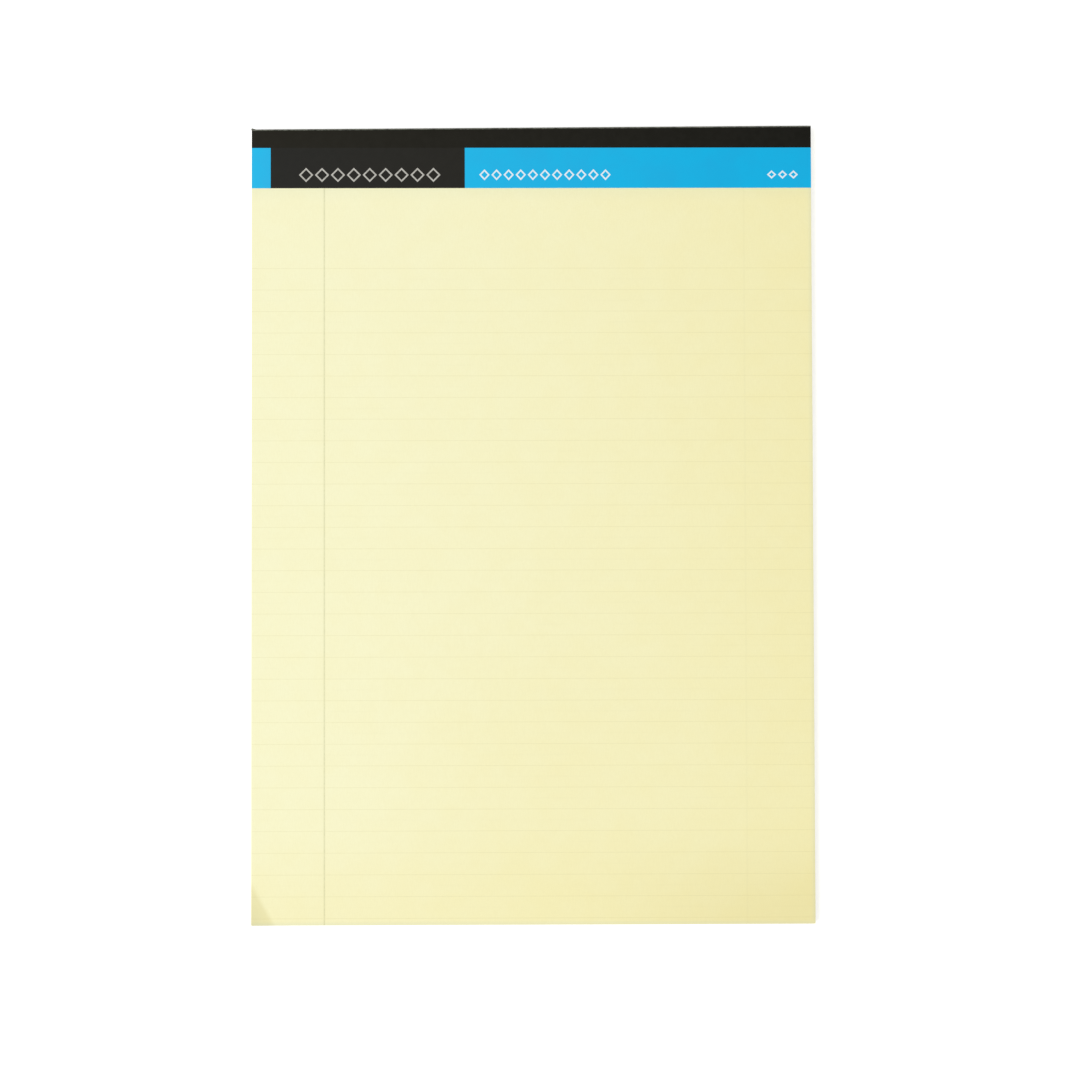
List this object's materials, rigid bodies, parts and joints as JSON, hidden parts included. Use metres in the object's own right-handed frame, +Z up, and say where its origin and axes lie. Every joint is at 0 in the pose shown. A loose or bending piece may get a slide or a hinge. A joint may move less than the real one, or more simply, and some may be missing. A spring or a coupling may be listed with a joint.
{
  "type": "legal pad",
  "caption": "Head-bound pad of yellow ruled leaves on a greyboard back, with a printed strip folded over its head and a turned-up corner at its foot.",
  "frame": {"origin": "middle of the footprint, on the surface that the pad lies on", "axes": "+X to the pad's right, +Y to its bound head, +Z up out of the writing face"},
  "size_m": [0.21, 0.299, 0.0082],
  "materials": {
    "yellow_paper": "uncoated writing paper, matt",
    "greyboard": "unlined greyboard, matt, with dark flecks",
    "black_strip": "printed coated paper, satin",
    "blue_ink": "print on coated paper, satin",
    "light_grey_ink": "print on coated paper, satin",
    "white_ink": "print on coated paper, satin",
    "feint_ink": "print on writing paper, matt",
    "margin_ink": "print on writing paper, matt",
    "steel_wire": "galvanised wire"
  },
  "bodies": {
    "root": {"page_block": "yellow_paper", "backing_board": "greyboard", "head_tape": "black_strip", "wire_stitch_left": "steel_wire", "wire_stitch_right": "steel_wire", "feint_rules": "feint_ink", "margin_rule": "margin_ink", "blue_print_left": "blue_ink", "blue_print_right": "blue_ink", "grey_ornament": "light_grey_ink", "white_ornament": "white_ink"}
  },
  "joints": []
}
